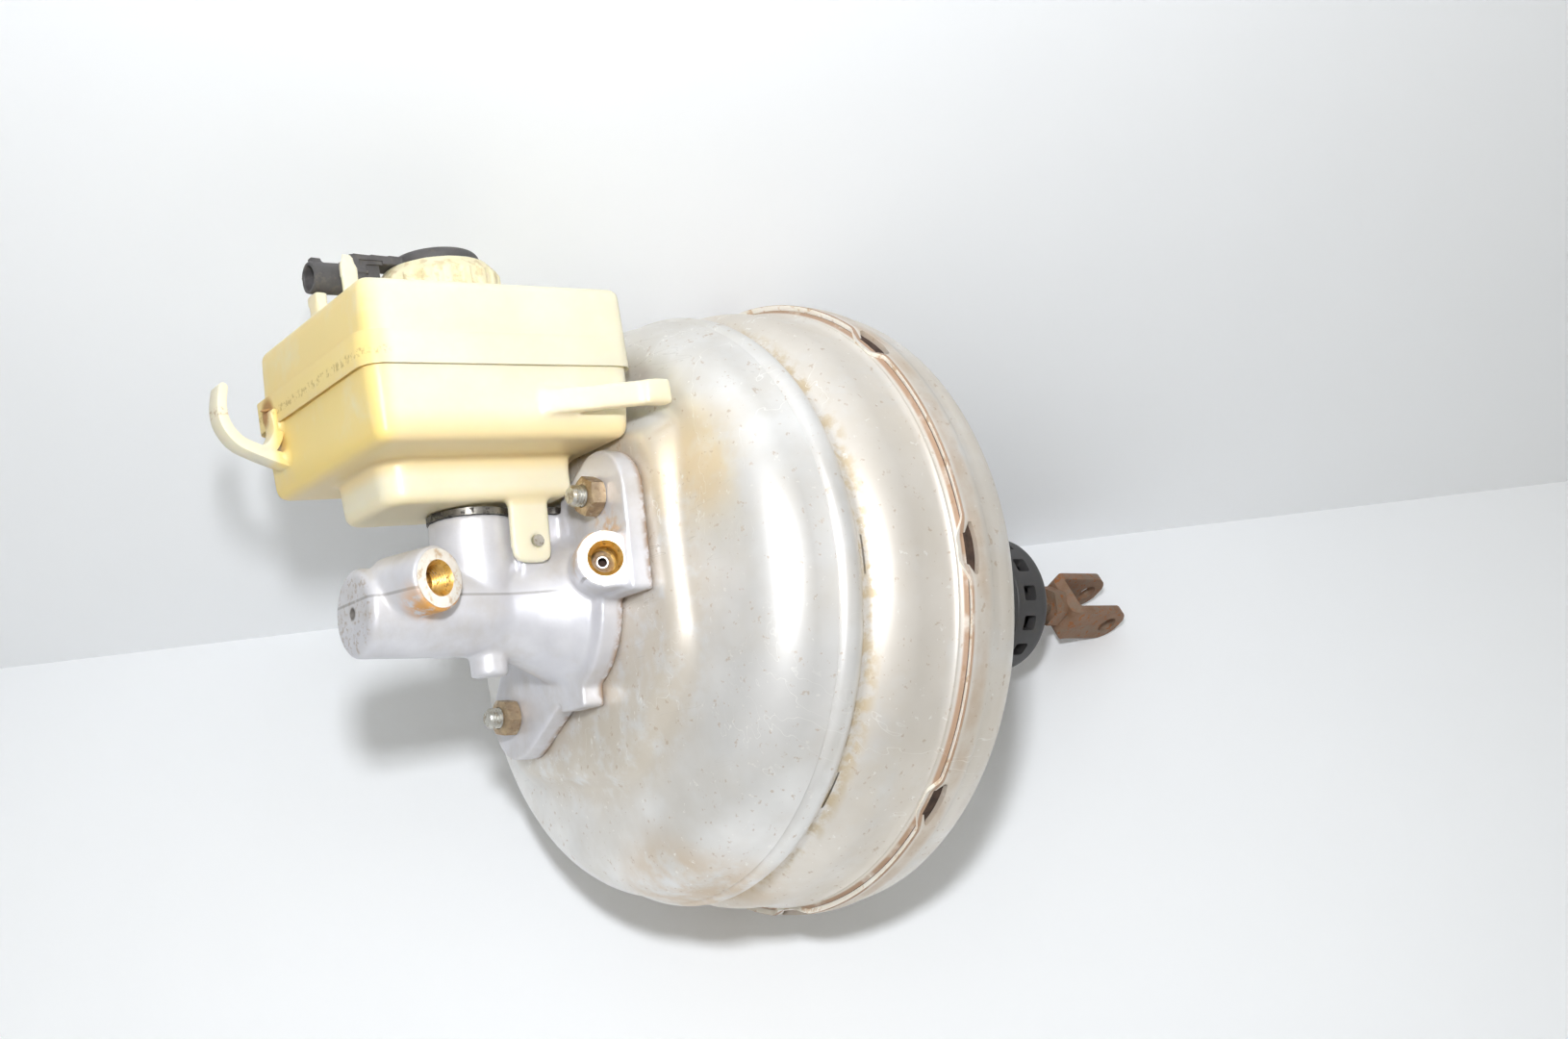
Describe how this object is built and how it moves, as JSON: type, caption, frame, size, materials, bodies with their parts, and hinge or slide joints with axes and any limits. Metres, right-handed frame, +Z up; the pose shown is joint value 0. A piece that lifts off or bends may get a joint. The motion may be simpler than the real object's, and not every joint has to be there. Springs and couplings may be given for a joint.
{
  "type": "brake booster",
  "caption": "Two-stage vacuum brake booster with cast master cylinder, fluid reservoir with level-sensor cap, breather boot and forked pedal rod.",
  "frame": {"origin": "centre of the rear face that bolts to the bulkhead, on the booster's axis", "axes": "+X along the booster's axis towards the brake pedal, +Z up towards the fluid reservoir, +Y to the side that carries the vacuum valve"},
  "size_m": [0.4386, 0.253, 0.2636],
  "materials": {
    "shell_steel": "dull silver paint over pressed steel, scratched and dusty",
    "inner_steel": "plain pressed steel",
    "black_rubber": "matt",
    "stud_zinc": "zinc plated thread",
    "nut_zinc": "yellow zinc, worn",
    "cast_aluminium": "as cast, machined faces",
    "outlet_seal": "dark, slightly glossy",
    "machined_steel": "turned",
    "spring_steel": "drawn wire",
    "dark_resin": "moulded resin",
    "filter_felt": "felt",
    "rod_steel": "dull steel",
    "rusty_steel": "old yellow zinc with rust",
    "boot_plastic": "matt moulded",
    "tank_plastic": "translucent, yellowed",
    "cap_plastic": "worn dark moulding",
    "terminal_brass": "plain",
    "collar_plastic": "yellowed natural",
    "float_plastic": "foam",
    "valve_plastic": "moulded"
  },
  "bodies": {
    "housing": {"front_shell": "shell_steel", "rear_shell": "shell_steel", "partition": "inner_steel", "partition_seal": "black_rubber", "neck_seal": "black_rubber", "front_diaphragm": "black_rubber", "rear_diaphragm": "black_rubber", "return_spring": "spring_steel", "rear_studs": "stud_zinc", "front_studs": "stud_zinc", "mounting_nuts": "nut_zinc", "master_cylinder": "cast_aluminium", "pilot_ring": "black_rubber", "front_grommet": "outlet_seal", "rear_grommet": "outlet_seal", "reservoir_pin": "stud_zinc", "reservoir_lower": "tank_plastic", "reservoir_upper": "tank_plastic", "cap_gasket": "black_rubber", "valve_grommet": "black_rubber", "check_valve": "valve_plastic", "boot": "boot_plastic", "secondary_spring": "spring_steel", "primary_spring": "spring_steel"},
    "power_piston": {"valve_body": "dark_resin", "front_plate": "inner_steel", "rear_plate": "inner_steel", "output_rod": "machined_steel", "reaction_disc": "black_rubber", "poppet": "black_rubber", "air_filter": "filter_felt", "primary_piston": "machined_steel", "primary_cups": "black_rubber"},
    "valve_plunger": {"plunger": "machined_steel"},
    "pedal_rod": {"input_rod": "rod_steel", "jam_nut": "rusty_steel", "fork": "rusty_steel"},
    "front_piston": {"secondary_piston": "machined_steel", "secondary_cups": "black_rubber"},
    "level_sensor": {"cap_insert": "cap_plastic", "plug_terminals": "terminal_brass"},
    "filler_collar": {"cap_collar": "collar_plastic"},
    "float": {"level_float": "float_plastic"}
  },
  "joints": [
    {"name": "piston_slide", "type": "slide", "parent": "housing", "child": "power_piston", "axis": [-1, 0, 0], "range_m": [0, 0.0245], "stiffness_N_per_m": 1500, "deforming": ["return_spring", "front_diaphragm", "rear_diaphragm", "primary_spring"]},
    {"name": "plunger_slide", "type": "slide", "parent": "power_piston", "child": "valve_plunger", "axis": [-1, 0, 0], "range_m": [0, 0.0015], "stiffness_N_per_m": 2000},
    {"name": "rod_swing", "type": "hinge", "parent": "valve_plunger", "child": "pedal_rod", "pos_m": [-0.052, 0, 0], "axis": [0, 1, 0], "range_deg": [-2, 2]},
    {"name": "front_piston_slide", "type": "slide", "parent": "housing", "child": "front_piston", "axis": [-1, 0, 0], "range_m": [0, 0.01235], "deforming": ["secondary_spring"]},
    {"name": "cap_lift", "type": "slide", "parent": "housing", "child": "level_sensor", "axis": [-0.0732, 0, 0.9973], "range_m": [0, 0.06]},
    {"name": "collar_turn", "type": "hinge", "parent": "level_sensor", "child": "filler_collar", "pos_m": [-0.19587, 0, 0.12369], "axis": [-0.0732, 0, 0.9973], "range_deg": [0, 270]},
    {"name": "float_rise", "type": "slide", "parent": "level_sensor", "child": "float", "axis": [-0.0732, 0, 0.9973], "range_m": [0, 0.02]}
  ],
  "couplings": [
    {"joint": "front_piston_slide", "follows": "piston_slide", "ratio": 0.5}
  ]
}
